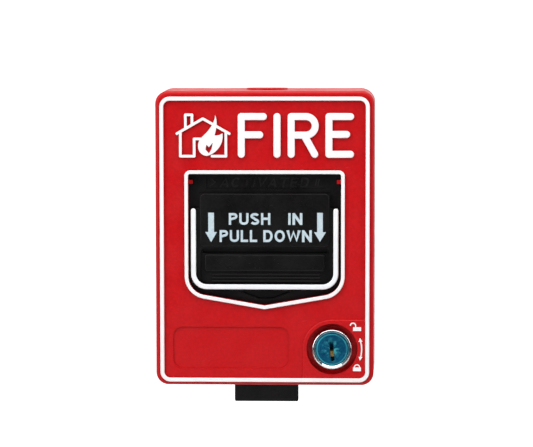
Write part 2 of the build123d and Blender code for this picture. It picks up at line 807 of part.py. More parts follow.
with BuildPart() as return_springs:
    for side in (-1, 1):
        seat = (side * return_spring_x, -return_spring_depth, opening_bottom)
        length = return_seat - opening_bottom
        coil_spring(seat, (0, 0, 1), (1, 0, 0), length, return_spring_radius, spring_wire)
return_springs.part.label = "return_springs"
export_step(return_springs.part, "parts/return_springs.step")

# ================= Latch arm =================
with BuildPart() as latch_arm:
    with BuildSketch(front(arm_rear)):
        with Locations((arm_pivot_x, arm_pivot_z - arm_length / 2)):
            SlotCenterToCenter(arm_length, arm_width, rotation=90)
        with Locations((arm_pivot_x, arm_pivot_z)):
            Circle(arm_width)
        with Locations((arm_pivot_x, arm_pivot_z + arm_width)):
            Rectangle(arm_width, 2 * arm_width)
        with Locations((arm_pivot_x, arm_pivot_z)):
            Circle(pivot_radius + small_fit, mode=Mode.SUBTRACT)
    extrude(amount=arm_thickness)
latch_arm.part.label = "latch_arm"
export_step(latch_arm.part, "parts/latch_arm.step")

with BuildPart() as latch_pivot:
    with BuildSketch(front(arm_rear - small_fit)):
        with Locations((arm_pivot_x, arm_pivot_z)):
            Circle(pivot_radius)
    extrude(amount=carriage_front - arm_rear + small_fit)
    with BuildSketch(front(arm_rear - small_fit)):
        with Locations((arm_pivot_x, arm_pivot_z)):
            Circle(2 * pivot_radius)
    extrude(amount=-0.5)
latch_pivot.part.label = "latch_pivot"
export_step(latch_pivot.part, "parts/latch_pivot.step")

with BuildPart() as latch_spring:
    seat = (arm_pivot_x + arm_width / 2, -arm_rear - arm_thickness / 2, arm_pivot_z + 4.5)
    coil_spring(seat, (1, 0, 0), (0, 0, 1), 10.5 - arm_width / 2, 1.2, 0.45)
latch_spring.part.label = "latch_spring"
export_step(latch_spring.part, "parts/latch_spring.step")

# ================= Guide frame =================
switch_holes = (
    (switch_left + 2.8, switch_bottom + 2.8),
    (switch_left + 25.0, switch_bottom + 13.1),
)
with BuildPart() as guide_frame:
    with BuildSketch(front(frame_rear)):
        with Locations((0, (frame_top + frame_bottom) / 2)):
            RectangleRounded(2 * carriage_half, frame_top - frame_bottom, 2)
        # Slot for the switch lug, and two lightening windows
        with Locations((lug_left + lug_width / 2, lug_top + handle_travel / 2 - 3)):
            Rectangle(lug_width + 2, handle_travel + 8, mode=Mode.SUBTRACT)
        for side in (-1, 1):
            with Locations((side * 34, 0)):
                RectangleRounded(11, 40, 2, mode=Mode.SUBTRACT)
        for z in (post_bottom, post_top):
            for x in (-post_x, post_x):
                with Locations((x, z)):
                    Circle(post_pilot + 0.1, mode=Mode.SUBTRACT)
        for x, z in switch_holes:
            with Locations((x, z)):
                Circle(1.5, mode=Mode.SUBTRACT)
    extrude(amount=frame_thickness)
guide_frame.part.label = "guide_frame"
export_step(guide_frame.part, "parts/guide_frame.step")

with BuildPart() as frame_screws:
    for z in (post_bottom, post_top):
        for x in (-post_x, post_x):
            with BuildSketch(front(frame_rear)):
                with Locations((x, z)):
                    Circle(post_pilot - 0.02)
            extrude(amount=frame_thickness + screw_reach - 1)
            with BuildSketch(front(frame_rear)):
                with Locations((x, z)):
                    Circle(2.2)
            extrude(amount=-1.5)
            with BuildSketch(front(frame_rear - 1.5)):
                with Locations((x, z)):
                    Rectangle(2.8, 0.6)
                    Rectangle(0.6, 2.8)
            extrude(amount=0.8, mode=Mode.SUBTRACT)
frame_screws.part.label = "frame_screws"
export_step(frame_screws.part, "parts/frame_screws.step")

# ================= Microswitch =================
switch_rear = frame_rear - switch_thickness
lever_centre = lever_front - lever_width / 2
with BuildPart() as microswitch_body:
    with BuildSketch(front(switch_rear)):
        with Locations((switch_left + switch_width / 2, switch_bottom + switch_height / 2)):
            RectangleRounded(switch_width, switch_height, 0.6)
        for x, z in switch_holes:
            with Locations((x, z)):
                Circle(1.55, mode=Mode.SUBTRACT)
    extrude(amount=switch_thickness)
    # Ears for the lever's pin
    for ear_rear in (lever_front - lever_width - 2.0, lever_front + 0.4):
        with BuildSketch(front(ear_rear)):
            with Locations((lever_pivot_x, lever_pivot_z + 0.4)):
                Rectangle(3.2, 3.2)
            with Locations((lever_pivot_x, lever_pivot_z)):
                Circle(lever_pin, mode=Mode.SUBTRACT)
        extrude(amount=1.6)
    with BuildSketch(level(switch_bottom)):
        with Locations((plunger_x, -lever_centre)):
            Circle(plunger_radius + 0.08)
    extrude(amount=5, mode=Mode.SUBTRACT)
microswitch_body.part.label = "microswitch_body"
export_step(microswitch_body.part, "parts/microswitch_body.step")

with BuildPart() as microswitch_plunger:
    with BuildSketch(level(switch_bottom - 2.0)):
        with Locations((plunger_x, -lever_centre)):
            Circle(plunger_radius)
    extrude(amount=5.4)
microswitch_plunger.part.label = "microswitch_plunger"
export_step(microswitch_plunger.part, "parts/microswitch_plunger.step")

with BuildPart() as microswitch_lever:
    with BuildSketch(front(lever_front - lever_width)):
        with Locations((lever_pivot_x, lever_pivot_z)):
            Circle(lever_eye)
        lean = radians(lever_rest_angle)
        middle_x = lever_pivot_x - lever_length / 2 * cos(lean)
        middle_z = lever_pivot_z - lever_length / 2 * sin(lean)
        with Locations((middle_x, middle_z)):
            Rectangle(lever_length, lever_thickness, rotation=lever_rest_angle)
        with Locations((lever_pivot_x, lever_pivot_z)):
            Circle(lever_pin + small_fit, mode=Mode.SUBTRACT)
    extrude(amount=lever_width)
microswitch_lever.part.label = "microswitch_lever"
export_step(microswitch_lever.part, "parts/microswitch_lever.step")

with BuildPart() as lever_pivot_pin:
    with BuildSketch(front(lever_front - lever_width - 2.0)):
        with Locations((lever_pivot_x, lever_pivot_z)):
            Circle(lever_pin)
    extrude(amount=lever_width + 4.0)
lever_pivot_pin.part.label = "lever_pin"
export_step(lever_pivot_pin.part, "parts/lever_pin.step")

with BuildPart() as microswitch_screws:
    for x, z in switch_holes:
        with BuildSketch(front(switch_rear)):
            with Locations((x, z)):
                Circle(1.48)
        extrude(amount=switch_thickness + frame_thickness)
        with BuildSketch(front(switch_rear)):
            with Locations((x, z)):
                Circle(2.7)
        extrude(amount=-1.6)
        with BuildSketch(front(switch_rear - 1.6)):
            with Locations((x, z)):
                Rectangle(3.6, 0.7)
                Rectangle(0.7, 3.6)
        extrude(amount=0.9, mode=Mode.SUBTRACT)
microswitch_screws.part.label = "microswitch_screws"
export_step(microswitch_screws.part, "parts/microswitch_screws.step")

switch_tabs = [switch_left + 4.0 + tab_pitch * index for index in range(3)]
tab_front = lead_depth + lead_radius + tab_plate
with BuildPart() as microswitch_terminals:
    for x in switch_tabs:
        with BuildSketch(front(tab_front - tab_plate)):
            with Locations((x, switch_bottom + switch_height + 2.5)):
                Rectangle(4.0, 5.0)
                Circle(0.6, mode=Mode.SUBTRACT)
        extrude(amount=tab_plate)
microswitch_terminals.part.label = "microswitch_terminals"
export_step(microswitch_terminals.part, "parts/microswitch_terminals.step")

# ================= Terminal block and wiring =================
pole_centres = [block_left + pole_pitch * (index + 0.5) for index in range(poles)]
pole_z = block_bottom + block_height / 2
clamp_rear = block_rear + 3.2
cavity_floor = block_rear + 6.0
with BuildPart() as terminal_block:
    with BuildSketch(front(block_rear)):
        with Locations((block_left + poles * pole_pitch / 2, pole_z)):
            Rectangle(poles * pole_pitch, block_height)
    extrude(amount=frame_rear - block_rear)
    with BuildSketch(front(block_rear)):
        for x in pole_centres:
            with Locations((x, pole_z)):
                Rectangle(7.6, 7.2)
    extrude(amount=cavity_floor - block_rear, mode=Mode.SUBTRACT)
    with BuildSketch(front(cavity_floor)):
        for x in pole_centres:
            with Locations((x, pole_z)):
                Circle(1.52)
    extrude(amount=4, mode=Mode.SUBTRACT)
    with BuildSketch(level(block_bottom)):
        for x in pole_centres:
            with Locations((x, -lead_depth)):
                Circle(lead_radius + 0.1)
    extrude(amount=block_height / 2 - 3, mode=Mode.SUBTRACT)
terminal_block.part.label = "terminal_block"
export_step(terminal_block.part, "parts/terminal_block.step")

with BuildPart() as terminal_clamps:
    with BuildSketch(front(clamp_rear)):
        for x in pole_centres:
            with Locations((x, pole_z)):
                Rectangle(7.4, 7.0)
                Circle(1.55, mode=Mode.SUBTRACT)
    extrude(amount=1.0)
terminal_clamps.part.label = "terminal_clamps"
export_step(terminal_clamps.part, "parts/terminal_clamps.step")

with BuildPart() as terminal_screws:
    for x in pole_centres:
        with BuildSketch(front(clamp_rear)):
            with Locations((x, pole_z)):
                Circle(1.5)
        extrude(amount=cavity_floor - clamp_rear + 3.6)
        with BuildSketch(front(clamp_rear)):
            with Locations((x, pole_z)):
                Circle(2.9)
        extrude(amount=-2.0)
        with BuildSketch(front(clamp_rear - 2.0)):
            with Locations((x, pole_z)):
                Rectangle(5.8, 0.8, rotation=30)
        extrude(amount=0.9, mode=Mode.SUBTRACT)
terminal_screws.part.label = "terminal_screws"
export_step(terminal_screws.part, "parts/terminal_screws.step")

lead_start = switch_bottom + switch_height + 0.6
lead_end = block_bottom + block_height / 2 - 3.2
with BuildPart() as switch_leads:
    for tab, pole in ((switch_tabs[0], pole_centres[2]), (switch_tabs[1], pole_centres[3])):
        with BuildLine():
            FilletPolyline(
                (tab, -lead_depth, lead_start),
                (tab, -lead_depth, lead_start + 5.2),
                (pole, -lead_depth, block_bottom - 1.4),
                (pole, -lead_depth, lead_end),
                radius=1.6,
            )
        with BuildSketch(Plane(origin=(tab, -lead_depth, lead_start), z_dir=(0, 0, 1))):
            Circle(lead_radius)
        sweep()
switch_leads.part.label = "switch_leads"
export_step(switch_leads.part, "parts/switch_leads.step")

resistor_z = block_bottom - 3.4
with BuildPart() as end_of_line_resistor:
    with BuildLine():
        FilletPolyline(
            (pole_centres[0], -lead_depth, lead_end),
            (pole_centres[0], -lead_depth, resistor_z),
            (pole_centres[1], -lead_depth, resistor_z),
            (pole_centres[1], -lead_depth, lead_end),
            radius=1.2,
        )
    with BuildSketch(Plane(origin=(pole_centres[0], -lead_depth, lead_end), z_dir=(0, 0, -1))):
        Circle(0.35)
    sweep()
    with BuildSketch(Plane.YZ.offset(pole_centres[0] + 2)):
        with Locations((-lead_depth, resistor_z)):
            Circle(1.5)
    extrude(amount=pole_pitch - 4)
end_of_line_resistor.part.label = "end_of_line_resistor"
export_step(end_of_line_resistor.part, "parts/end_of_line_resistor.step")

# ================= Key lock =================
well_depth = face - well_floor
ring_front = well_depth + ring_height
plug_front = ring_front - 0.6
plug_head = 1.6
barrel_rear = well_depth - barrel_length
cam_front = barrel_rear - 2.0
with BuildPart() as lock_body:
    with BuildSketch(front(well_depth)):
        with Locations((lock_x, lock_z)):
            Circle(ring_radius)
    extrude(amount=ring_height)
    ring_edge = lock_body.faces().sort_by(Axis.Y)[0].edges()
    fillet(ring_edge, 0.7)
    with BuildSketch(front(barrel_rear)):
        with Locations((lock_x, lock_z)):
            Circle(barrel_radius)
    extrude(amount=barrel_length)
    with BuildSketch(front(barrel_rear)):
        with Locations((lock_x, lock_z)):
            Circle(plug_radius + plug_fit)
    extrude(amount=barrel_length + ring_height, mode=Mode.SUBTRACT)
    with BuildSketch(front(plug_front - plug_head - small_fit)):
        with Locations((lock_x, lock_z)):
            Circle(ring_bore)
    extrude(amount=4, mode=Mode.SUBTRACT)
    bore_edges = lock_body.edges().filter_by(GeomType.CIRCLE)
    bore_lip = bore_edges.filter_by(lambda edge: abs(edge.radius - ring_bore) < 0.01).sort_by(Axis.Y)[0]
    chamfer(bore_lip, ring_lip)
lock_body.part.label = "lock_body"
export_step(lock_body.part, "parts/lock_body.step")

with BuildPart() as lock_plug:
    with BuildSketch(front(cam_front)):
        with Locations((lock_x, lock_z)):
            Circle(plug_radius)
    extrude(amount=plug_front - plug_head - cam_front)
    with BuildSketch(front(plug_front - plug_head)):
        with Locations((lock_x, lock_z)):
            Circle(plug_face)
    extrude(amount=plug_head)
    plug_edge = lock_plug.faces().sort_by(Axis.Y)[0].edges()
    fillet(plug_edge, 0.35)
    with BuildSketch(front(cam_front)):
        with Locations((lock_x, lock_z)):
            Rectangle(6, 6)
    extrude(amount=-cam_thickness)
    with BuildSketch(front(plug_front)):
        with Locations((lock_x, lock_z - key_slot_drop)):
            SlotOverall(key_slot_length, key_slot_width, rotation=90 + key_slot_tilt)
    extrude(amount=-8, mode=Mode.SUBTRACT)
    with BuildSketch(front(cam_front - cam_thickness)):
        with Locations((lock_x, lock_z)):
            Circle(1.62)
    extrude(amount=6.5, mode=Mode.SUBTRACT)
lock_plug.part.label = "lock_plug"
export_step(lock_plug.part, "parts/lock_plug.step")

with BuildPart() as lock_wafers:
    for wafer in range(4):
        with BuildSketch(front(plug_front - 1.3 - 1.4 * wafer)):
            wafer_drop = 1.6 - 0.3 * (wafer % 2)
            wafer_x = lock_x + wafer_drop * sin(radians(key_slot_tilt))
            wafer_z = lock_z - key_slot_drop - wafer_drop * cos(radians(key_slot_tilt))
            with Locations((wafer_x, wafer_z)):
                Rectangle(key_slot_width - 0.06, 2.6, rotation=key_slot_tilt)
        extrude(amount=-0.6)
lock_wafers.part.label = "lock_wafers"
export_step(lock_wafers.part, "parts/lock_wafers.step")

with BuildPart() as lock_nut:
    with BuildSketch(front(well_depth - cup_floor)):
        with Locations((lock_x, lock_z)):
            RegularPolygon(nut_flats / 2, 6, major_radius=False)
            Circle(barrel_radius + 0.02, mode=Mode.SUBTRACT)
    extrude(amount=-nut_thickness)
lock_nut.part.label = "lock_nut"
export_step(lock_nut.part, "parts/lock_nut.step")

with BuildPart() as lock_cam:
    with BuildSketch(front(cam_front - cam_thickness)):
        with Locations((lock_x, lock_z)):
            Circle(6.4)
        with Locations((lock_x, lock_z + (cam_length - 1) / 2)):
            Rectangle(cam_width, cam_length - 1)
        with Locations((lock_x, lock_z + cam_length - 2)):
            RectangleRounded(cam_width, 4, 1.5)
        with Locations((lock_x, lock_z)):
            Rectangle(6.04, 6.04, mode=Mode.SUBTRACT)
    extrude(amount=cam_thickness)
lock_cam.part.label = "lock_cam"
export_step(lock_cam.part, "parts/lock_cam.step")

with BuildPart() as lock_cam_screw:
    with BuildSketch(front(cam_front - cam_thickness)):
        with Locations((lock_x, lock_z)):
            Circle(1.6)
    extrude(amount=6)
    with BuildSketch(front(cam_front - cam_thickness)):
        with Locations((lock_x, lock_z)):
            Circle(4.0)
    extrude(amount=-1.8)
    with BuildSketch(front(cam_front - cam_thickness - 1.8)):
        with Locations((lock_x, lock_z)):
            Rectangle(5, 0.8)
            Rectangle(0.8, 5)
    extrude(amount=1.0, mode=Mode.SUBTRACT)
lock_cam_screw.part.label = "lock_cam_screw"
export_step(lock_cam_screw.part, "parts/lock_cam_screw.step")

# ================= Strike and earth screw in the box =================
strike_sheet = 1.2
strike_lip = cam_front + 0.4
with BuildPart() as lock_strike:
    with BuildSketch(level(lock_z - 7.5)):
        with Locations((box_inner_half - strike_sheet / 2, -(5 + strike_lip + 1.6) / 2)):
            Rectangle(strike_sheet, strike_lip + 1.6 - 5)
        with Locations((box_inner_half - 1.96, -strike_lip - 0.8)):
            Rectangle(3.92, 1.6)
    extrude(amount=15)
    with BuildSketch(Plane.YZ.offset(box_inner_half - strike_sheet)):
        for z in (lock_z - 5, lock_z + 5):
            with Locations((-10, z)):
                Circle(1.25)
    extrude(amount=strike_sheet, mode=Mode.SUBTRACT)
lock_strike.part.label = "lock_strike"
export_step(lock_strike.part, "parts/lock_strike.step")

with BuildPart() as strike_screws:
    for z in (lock_z - 5, lock_z + 5):
        with BuildSketch(Plane.YZ.offset(box_inner_half - strike_sheet)):
            with Locations((-10, z)):
                Circle(1.18)
        extrude(amount=strike_sheet + 1.5)
        with BuildSketch(Plane.YZ.offset(box_inner_half - strike_sheet)):
            with Locations((-10, z)):
                Circle(2.1)
        extrude(amount=-1.5)
strike_screws.part.label = "strike_screws"
export_step(strike_screws.part, "parts/strike_screws.step")

with BuildPart() as ground_screw:
    with BuildSketch(front(box_floor + 1.0)):
        with Locations((-28, -48)):
            Circle(1.58)
    extrude(amount=2.9)
    with BuildSketch(front(box_floor + 3.9)):
        with Locations((-28, -48)):
            RegularPolygon(3.4, 6)
    extrude(amount=2.2)
    with BuildSketch(front(box_floor + 6.1)):
        with Locations((-28, -48)):
            Rectangle(7, 0.9)
    extrude(amount=-1.0, mode=Mode.SUBTRACT)
ground_screw.part.label = "ground_screw"
export_step(ground_screw.part, "parts/ground_screw.step")
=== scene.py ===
import json
import math

import bmesh
import bpy
import numpy as np
from mathutils import Matrix, Vector


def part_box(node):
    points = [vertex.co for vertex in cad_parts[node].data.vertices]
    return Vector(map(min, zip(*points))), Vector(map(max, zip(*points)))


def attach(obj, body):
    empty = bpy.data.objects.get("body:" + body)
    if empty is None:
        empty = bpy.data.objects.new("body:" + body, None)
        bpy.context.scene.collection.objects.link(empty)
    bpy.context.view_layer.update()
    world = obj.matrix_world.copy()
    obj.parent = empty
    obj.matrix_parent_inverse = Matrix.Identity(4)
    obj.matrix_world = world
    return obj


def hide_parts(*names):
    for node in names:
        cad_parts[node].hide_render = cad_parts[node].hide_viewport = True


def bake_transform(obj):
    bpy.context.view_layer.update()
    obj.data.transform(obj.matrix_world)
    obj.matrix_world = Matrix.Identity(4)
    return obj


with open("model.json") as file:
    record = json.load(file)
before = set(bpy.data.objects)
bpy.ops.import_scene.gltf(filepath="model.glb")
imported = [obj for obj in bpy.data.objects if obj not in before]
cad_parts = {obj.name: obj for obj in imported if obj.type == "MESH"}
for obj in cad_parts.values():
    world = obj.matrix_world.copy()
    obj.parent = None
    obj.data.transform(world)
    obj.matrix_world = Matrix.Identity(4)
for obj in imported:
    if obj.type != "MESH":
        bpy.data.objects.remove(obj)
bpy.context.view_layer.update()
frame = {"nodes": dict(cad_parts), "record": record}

nodes = frame["nodes"]
MM = 0.001

# depths from the wall, in metres, above which a raised face is painted
RIB_PAINT_DEPTH = 0.0376
RIM_PAINT_DEPTH = 0.03672

# depths from the wall, in millimetres, of the faces that carry lettering
LABEL_DEPTH = 36.4
BAND_DEPTH = 33.7
LABEL_STROKE = 1.14
INK_SINK, INK_HEIGHT = 0.01, 0.05
BAND_SINK, BAND_HEIGHT = 0.02, 0.16
LETTER_LEAN = 0.22

# springs, in millimetres: wire, outer radius, length and turns
PUSH_SPRING = {"wire": 0.7, "radius": 3.5, "length": 5.9, "turns": 4.0}
RETURN_SPRING = {"wire": 0.6, "radius": 1.9, "length": 17.0, "turns": 11.0}
LATCH_WIRE, LATCH_TURNS = 0.4, 9.0

# room round the object
LIGHT_TARGET = (0.0, -0.02, 0.0)
BACKDROP_GLOW = 0.75


# ---------------------------------------------------------------- node helpers
class Nodes:
    """Short ways to add and join the nodes of one material or one group."""

    def __init__(self, tree):
        self.tree = tree

    def fill(self, socket, value):
        """Links another socket's result into a socket, or sets a plain value on it."""
        if isinstance(value, bpy.types.NodeSocket):
            self.tree.links.new(value, socket)
        else:
            socket.default_value = value

    def put(self, kind, settings=None, **inputs):
        """Adds a node, sets its settings, and fills or links its inputs by name or number."""
        node = self.tree.nodes.new(kind)
        for key, value in (settings or {}).items():
            setattr(node, key, value)
        for key, value in inputs.items():
            name = key.replace("_", " ")
            numbered = key[0] == "i" and key[1:].isdigit()
            self.fill(node.inputs[int(key[1:]) if numbered else name], value)
        return node

    def math(self, operation, a, b=0.0, clamp=False):
        """One number worked out from two."""
        settings = {"operation": operation, "use_clamp": clamp}
        return self.put("ShaderNodeMath", settings, i0=a, i1=b).outputs[0]

    def ramp(self, value, low, high, start=0.0, end=1.0):
        """A number carried smoothly from start to end as a value goes from low to high."""
        settings = {"interpolation_type": "SMOOTHSTEP"}
        node = self.put("ShaderNodeMapRange", settings, Value=value)
        node.inputs["From Min"].default_value = low
        node.inputs["From Max"].default_value = high
        node.inputs["To Min"].default_value = start
        node.inputs["To Max"].default_value = end
        return node.outputs["Result"]

    def mix(self, share, a, b):
        """A colour between two, by a share from 0 to 1."""
        node = self.put("ShaderNodeMix", {"data_type": "RGBA"})
        for number, value in ((0, share), (6, a), (7, b)):
            self.fill(node.inputs[number], value)
        return node.outputs[2]

    def noise(self, vector, scale, detail=2.0, rough=0.5):
        """Soft random clouds, around a half."""
        node = self.put("ShaderNodeTexNoise", None, Vector=vector, Scale=scale, Detail=detail,
                        Roughness=rough)
        return node.outputs["Fac"]


def colour(red, green, blue):
    """A colour as the shader wants it, from the three numbers that a screen shows."""
    def linear(value):
        value /= 255
        return value / 12.92 if value <= 0.04045 else ((value + 0.055) / 1.055) ** 2.4
    return (linear(red), linear(green), linear(blue), 1.0)


def new_group(name, inputs, outputs):
    """An empty shader group with its named sockets; gives the group, its nodes, inputs and result."""
    tree = bpy.data.node_groups.new(name, "ShaderNodeTree")
    kinds = {"number": "NodeSocketFloat", "vector": "NodeSocketVector", "colour": "NodeSocketColor"}
    for socket, kind, value in inputs:
        made = tree.interface.new_socket(name=socket, in_out="INPUT", socket_type=kinds[kind])
        if value is not None:
            made.default_value = value
    for socket, kind in outputs:
        tree.interface.new_socket(name=socket, in_out="OUTPUT", socket_type=kinds[kind])
    entry = tree.nodes.new("NodeGroupInput")
    result = tree.nodes.new("NodeGroupOutput")
    return tree, Nodes(tree), entry.outputs, result.inputs


def moulded_grain():
    """Spark-eroded mould texture: tiny rounded pits in two sizes, with slow waves in the wall."""
    tree, n, given, result = new_group(
        "moulded_grain",
        [("Position", "vector", None), ("Pit size", "number", 3000.0), ("Depth", "number", 0.00001),
         ("Waves", "number", 0.0)],
        [("Normal", "vector"), ("Tone", "number"), ("Shine", "number")])
    fine = n.noise(given["Position"], given["Pit size"], 2.0, 0.6)
    coarse = n.noise(given["Position"], n.math("MULTIPLY", given["Pit size"], 0.31), 1.0)
    slow = n.noise(given["Position"], 45.0, 1.0)
    height = n.math("ADD", fine, n.math("MULTIPLY", coarse, 0.7))
    height = n.math("ADD", height, n.math("MULTIPLY", slow, given["Waves"]))
    bump = n.put("ShaderNodeBump", None, Strength=1.0, Distance=given["Depth"], Height=height)
    tree.links.new(bump.outputs["Normal"], result["Normal"])
    tree.links.new(n.ramp(coarse, 0.3, 0.7), result["Tone"])
    tree.links.new(n.ramp(n.noise(given["Position"], 90.0, 3.0), 0.3, 0.7), result["Shine"])
    return tree


def handling_marks():
    """Faint hairline scuffs and dull smudges from handling, as two masks."""
    tree, n, given, result = new_group(
        "handling_marks", [("Position", "vector", None), ("Amount", "number", 0.3)],
        [("Scuff", "number"), ("Smudge", "number")])
    turned = n.put("ShaderNodeMapping", None, Vector=given["Position"],
                   Rotation=(0.3, 0.7, 0.2), Scale=(260.0, 2400.0, 2400.0))
    lines = n.noise(turned.outputs["Vector"], 1.0, 1.0)
    patches = n.noise(given["Position"], 70.0, 2.0)
    scuff = n.math("MULTIPLY", n.ramp(lines, 0.70, 0.78), n.ramp(patches, 0.52, 0.66))
    tree.links.new(n.math("MULTIPLY", scuff, given["Amount"]), result["Scuff"])
    smudge = n.ramp(n.noise(given["Position"], 110.0, 4.0, 0.6), 0.42, 0.75)
    tree.links.new(n.math("MULTIPLY", smudge, given["Amount"]), result["Smudge"])
    return tree


def brushed_lines():
    """Fine parallel or circular tool lines: noise stretched along one direction."""
    tree, n, given, result = new_group(
        "brushed_lines",
        [("Position", "vector", None), ("Stretch", "vector", None), ("Depth", "number", 0.000004)],
        [("Normal", "vector"), ("Streak", "number")])
    drawn = n.put("ShaderNodeVectorMath", {"operation": "MULTIPLY"},
                  i0=given["Position"], i1=given["Stretch"])
    lines = n.noise(drawn.outputs["Vector"], 1.0, 3.0, 0.65)
    bump = n.put("ShaderNodeBump", None, Strength=1.0, Distance=given["Depth"], Height=lines)
    tree.links.new(bump.outputs["Normal"], result["Normal"])
    tree.links.new(n.ramp(lines, 0.3, 0.7), result["Streak"])
    return tree


def paint_edge():
    """Paint on raised faces: 1 above a depth from the wall, with a slightly wandering edge."""
    tree, n, given, result = new_group(
        "paint_edge",
        [("Position", "vector", None), ("Depth", "number", 0.0375), ("Wander", "number", 0.00012)],
        [("Coat", "number")])
    split = n.put("ShaderNodeSeparateXYZ", None, Vector=given["Position"])
    out = n.math("MULTIPLY", split.outputs["Y"], -1.0)
    sway = n.math("SUBTRACT", n.noise(given["Position"], 900.0, 2.0), 0.5)
    shift = n.math("MULTIPLY", sway, given["Wander"])
    above = n.math("SUBTRACT", n.math("ADD", out, shift), given["Depth"])
    tree.links.new(n.ramp(above, -0.00002, 0.00004), result["Coat"])
    return tree


GRAIN = moulded_grain()
MARKS = handling_marks()
BRUSHED = brushed_lines()
PAINT = paint_edge()


def new_material(name):
    """A new material; gives it, its nodes, its main shader and the object's own position."""
    material = bpy.data.materials.new(name)
    material.use_nodes = True
    n = Nodes(material.node_tree)
    shader = next(x for x in material.node_tree.nodes if x.type == "BSDF_PRINCIPLED")
    place = n.put("ShaderNodeTexCoord").outputs["Object"]
    return material, n, shader, place


def use(n, tree, **inputs):
    """A shader group placed in a material; gives its outputs."""
    node = n.put("ShaderNodeGroup", {"node_tree": tree})
    for key, value in inputs.items():
        n.fill(node.inputs[key.replace("_", " ")], value)
    return node.outputs


# ---------------------------------------------------------------- plastics
RED_DEEP = colour(187, 4, 12)
RED_BRIGHT = colour(197, 6, 15)


def red_shell():
    """Moulded red plastic with a fine matt texture; white paint on the raised ribs and letters."""
    material, n, shader, place = new_material("red_shell")
    grain = use(n, GRAIN, Position=place, Pit_size=2600.0, Depth=0.000012, Waves=1.2)
    marks = use(n, MARKS, Position=place, Amount=0.25)
    painted = use(n, PAINT, Position=place, Depth=RIB_PAINT_DEPTH, Wander=0.0001)["Coat"]
    red = n.mix(grain["Tone"], RED_DEEP, RED_BRIGHT)
    red = n.mix(marks["Scuff"], red, colour(222, 92, 92))
    white = n.mix(marks["Smudge"], colour(250, 246, 247), colour(232, 224, 224))
    n.fill(shader.inputs["Base Color"], n.mix(painted, red, white))
    matt = n.math("ADD", n.math("MULTIPLY", grain["Shine"], 0.10), 0.36)
    matt = n.math("ADD", matt, n.math("MULTIPLY", marks["Smudge"], 0.3))
    n.fill(shader.inputs["Roughness"], matt)
    n.fill(shader.inputs["Normal"], grain["Normal"])
    shader.inputs["Specular IOR Level"].default_value = 0.3
    return material


def black_handle():
    """Moulded black plastic with a fine texture, its raised border painted white."""
    material, n, shader, place = new_material("black_handle")
    grain = use(n, GRAIN, Position=place, Pit_size=3400.0, Depth=0.000008, Waves=0.6)
    marks = use(n, MARKS, Position=place, Amount=0.4)
    coat = use(n, PAINT, Position=place, Depth=RIM_PAINT_DEPTH, Wander=0.00008)["Coat"]
    black = n.mix(grain["Tone"], colour(9, 8, 9), colour(17, 15, 16))
    black = n.mix(marks["Scuff"], black, colour(78, 76, 78))
    white = n.mix(marks["Smudge"], colour(246, 248, 251), colour(222, 222, 224))
    n.fill(shader.inputs["Base Color"], n.mix(coat, black, white))
    matt = n.math("ADD", n.math("MULTIPLY", grain["Shine"], 0.10), 0.30)
    n.fill(shader.inputs["Roughness"], n.math("ADD", matt, n.math("MULTIPLY", marks["Smudge"], 0.2)))
    n.fill(shader.inputs["Normal"], grain["Normal"])
    shader.inputs["Specular IOR Level"].default_value = 0.25
    return material


def plain_plastic(name, deep, bright, pits, depth, matt, scuff):
    """Moulded plastic of one colour: texture pits, slow shade changes, scuffs and a varied shine.
    Its three shades are given as a screen shows them."""
    material, n, shader, place = new_material(name)
    grain = use(n, GRAIN, Position=place, Pit_size=pits, Depth=depth, Waves=0.5)
    marks = use(n, MARKS, Position=place, Amount=0.4)
    base = n.mix(grain["Tone"], colour(*deep), colour(*bright))
    n.fill(shader.inputs["Base Color"], n.mix(marks["Scuff"], base, colour(*scuff)))
    rough = n.math("ADD", n.math("MULTIPLY", grain["Shine"], 0.14), matt)
    n.fill(shader.inputs["Roughness"], n.math("ADD", rough, n.math("MULTIPLY", marks["Smudge"], 0.2)))
    n.fill(shader.inputs["Normal"], grain["Normal"])
    return material


def band_sheen_plastic():
    """The raised letters of the handle's top band, in the handle's own black painted a shade lighter as a
    sheen on the raised strokes, and worn a little shinier.
    """
    return plain_plastic("band_letters", (16, 15, 16), (26, 24, 26), 3400.0, 0.000004, 0.22, (80, 78, 82))


def white_print():
    """Pad-printed white ink: thin, slightly mottled, the black showing through in tiny pores."""
    material, n, shader, place = new_material("white_print")
    mottle = n.ramp(n.noise(place, 700.0, 3.0, 0.6), 0.3, 0.7)
    pores = n.ramp(n.noise(place, 5200.0, 1.0), 0.68, 0.76)
    ink = n.mix(mottle, colour(186, 205, 214), colour(202, 218, 226))
    porous = n.mix(n.math("MULTIPLY", pores, 0.45), ink, colour(90, 96, 100))
    n.fill(shader.inputs["Base Color"], porous)
    n.fill(shader.inputs["Roughness"], n.ramp(mottle, 0.0, 1.0, 0.42, 0.58))
    bump = n.put("ShaderNodeBump", None, Strength=0.6, Distance=0.00001, Height=mottle)
    n.fill(shader.inputs["Normal"], bump.outputs["Normal"])
    return material


